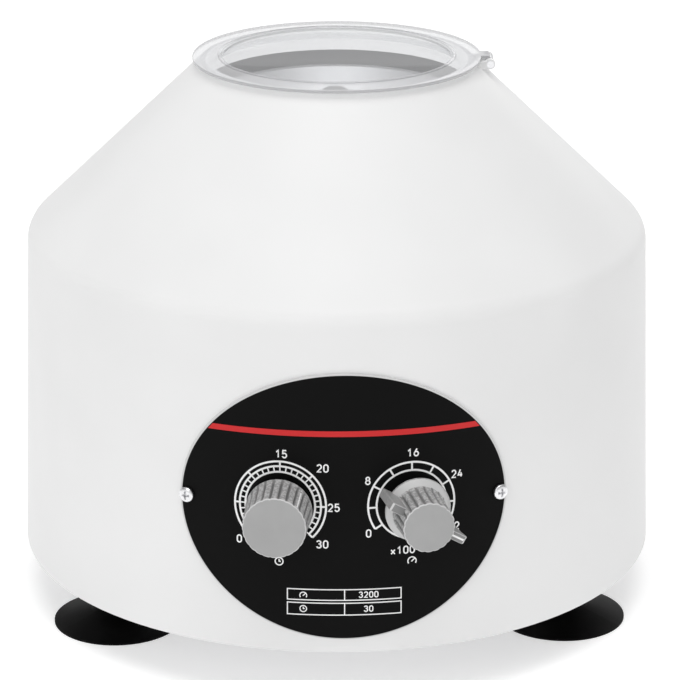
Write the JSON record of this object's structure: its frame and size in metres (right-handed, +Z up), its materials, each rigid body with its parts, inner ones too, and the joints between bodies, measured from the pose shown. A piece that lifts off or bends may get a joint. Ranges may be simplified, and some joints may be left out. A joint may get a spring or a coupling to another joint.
{
  "type": "bench centrifuge",
  "caption": "Round bench centrifuge with a conical top, a hinged clear lid, an angle rotor with tube sleeves, a timer dial, a speed dial and suction feet.",
  "frame": {"origin": "on the bench under the rotor's axis, where the three feet stand", "axes": "+Z up along the rotor's axis, -Y to the control panel at the front, +X to the lid's hinge at the right"},
  "size_m": [0.26, 0.2816, 0.2229],
  "materials": {
    "white_shell": "satin moulded plastic, very light grain",
    "black_panel": "satin printed sheet",
    "bright_steel": "plated screws and pins",
    "sheet_steel": "zinc plated sheet and bar",
    "bowl_steel": "spun stainless sheet",
    "black_rubber": "moulded rubber",
    "cast_aluminium": "machined casting",
    "motor_iron": "laminated iron",
    "copper_wire": "enamelled copper",
    "brush_plastic": "dark moulded plastic",
    "bearing_steel": "ground steel",
    "clear_lid": "clear moulded plastic",
    "grey_knob": "satin moulded plastic",
    "control_plastic": "moulded case",
    "board_green": "laminate with solder mask",
    "board_white": "moulded nylon",
    "capacitor_sleeve": "shrunk sleeve",
    "inlet_black": "moulded plastic"
  },
  "bodies": {
    "housing": {"body_shell": "white_shell", "control_panel": "black_panel", "panel_screws": "bright_steel", "base_plate": "sheet_steel", "base_screws": "bright_steel", "suction_feet": "black_rubber", "foot_studs": "bright_steel", "foot_nuts": "bright_steel", "chamber_bowl": "bowl_steel", "bowl_posts": "sheet_steel", "bowl_screws": "bright_steel", "shaft_boot": "black_rubber", "motor_pillars": "sheet_steel", "vibration_dampers": "black_rubber", "damper_bolts": "bright_steel", "motor_top_cap": "cast_aluminium", "motor_can": "sheet_steel", "motor_bottom_cap": "cast_aluminium", "field_core": "motor_iron", "field_coils": "copper_wire", "brush_holders": "brush_plastic", "brushes": "brush_plastic", "bearing_outer_rings": "bearing_steel", "bearing_balls": "bearing_steel", "hinge_pin": "bright_steel", "timer_case": "control_plastic", "timer_nut": "bright_steel", "speed_control": "control_plastic", "speed_nut": "bright_steel", "control_board": "board_green", "board_posts": "board_white", "heat_sink": "cast_aluminium", "terminal_block": "board_green", "smoothing_capacitor": "capacitor_sleeve", "fuse": "bright_steel", "fuse_clips": "bright_steel", "mains_inlet": "inlet_black", "inlet_pins": "bright_steel", "inlet_screws": "bright_steel"},
    "lid": {"lid": "clear_lid"},
    "rotor": {"rotor_shaft": "bearing_steel", "armature_core": "motor_iron", "armature_winding": "copper_wire", "commutator": "copper_wire", "cooling_fan": "brush_plastic", "bearing_inner_rings": "bearing_steel", "rotor_head": "cast_aluminium", "tube_sleeves": "cast_aluminium", "tube_cushions": "black_rubber", "rotor_washer": "bright_steel", "rotor_nut": "bright_steel"},
    "timer_control": {"timer_shaft": "bearing_steel", "timer_knob": "grey_knob"},
    "speed_adjuster": {"speed_shaft": "bearing_steel", "speed_knob": "grey_knob"}
  },
  "joints": [
    {"name": "lid_hinge", "type": "hinge", "parent": "housing", "child": "lid", "pos_m": [0.061, 0, 0.21945], "axis": [0, 1, 0], "range_deg": [0, 105]},
    {"name": "rotor_spin", "type": "hinge", "parent": "housing", "child": "rotor", "pos_m": [0, 0, 0.15], "axis": [0, 0, 1], "continuous": true},
    {"name": "timer_turn", "type": "hinge", "parent": "housing", "child": "timer_control", "pos_m": [-0.0241, -0.12685, 0.0804], "axis": [-0.1045, -0.9945, 0], "range_deg": [-90, 180]},
    {"name": "speed_turn", "type": "hinge", "parent": "housing", "child": "speed_adjuster", "pos_m": [0.0262, -0.12643, 0.0804], "axis": [0.1874, -0.9823, 0], "range_deg": [-3, 243]}
  ]
}
